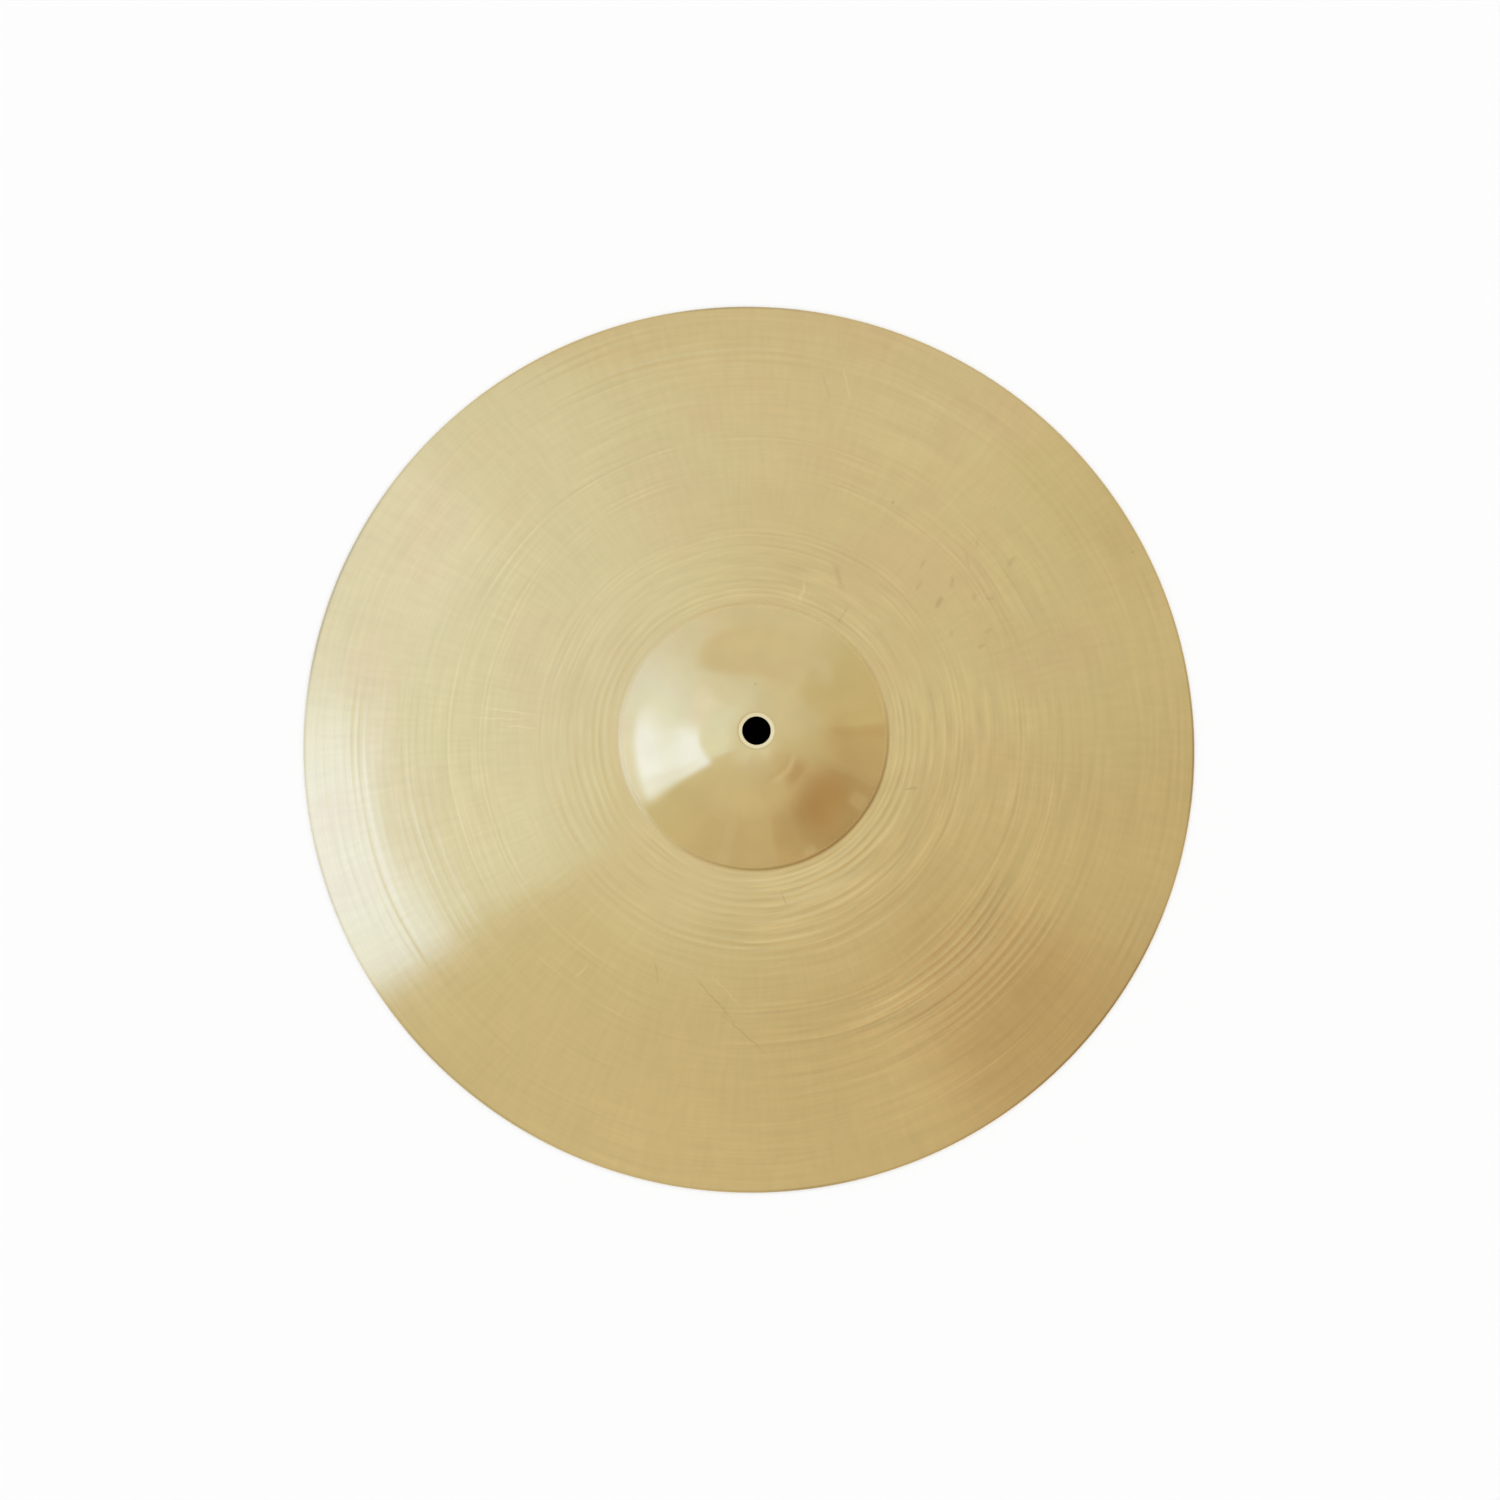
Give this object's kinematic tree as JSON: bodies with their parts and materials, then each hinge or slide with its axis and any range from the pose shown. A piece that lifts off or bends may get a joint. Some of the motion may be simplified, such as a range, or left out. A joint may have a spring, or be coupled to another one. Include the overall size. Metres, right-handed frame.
{
  "type": "crash cymbal",
  "caption": "Thin round cymbal of turned brass with a raised bell, a gently arched bow, a rounded rim and a centre hole for a stand.",
  "frame": {"origin": "on the axis of the centre hole, in the plane that the rim rests on", "axes": "+Z along the axis, up out of the bell; X and Y are alike, because the cymbal is round"},
  "size_m": [0.4064, 0.4064, 0.0443],
  "materials": {
    "brass": "turned in fine rings on the bow, above and below, and polished on the bell"
  },
  "bodies": {
    "root": {"cymbal": "brass"}
  },
  "joints": []
}
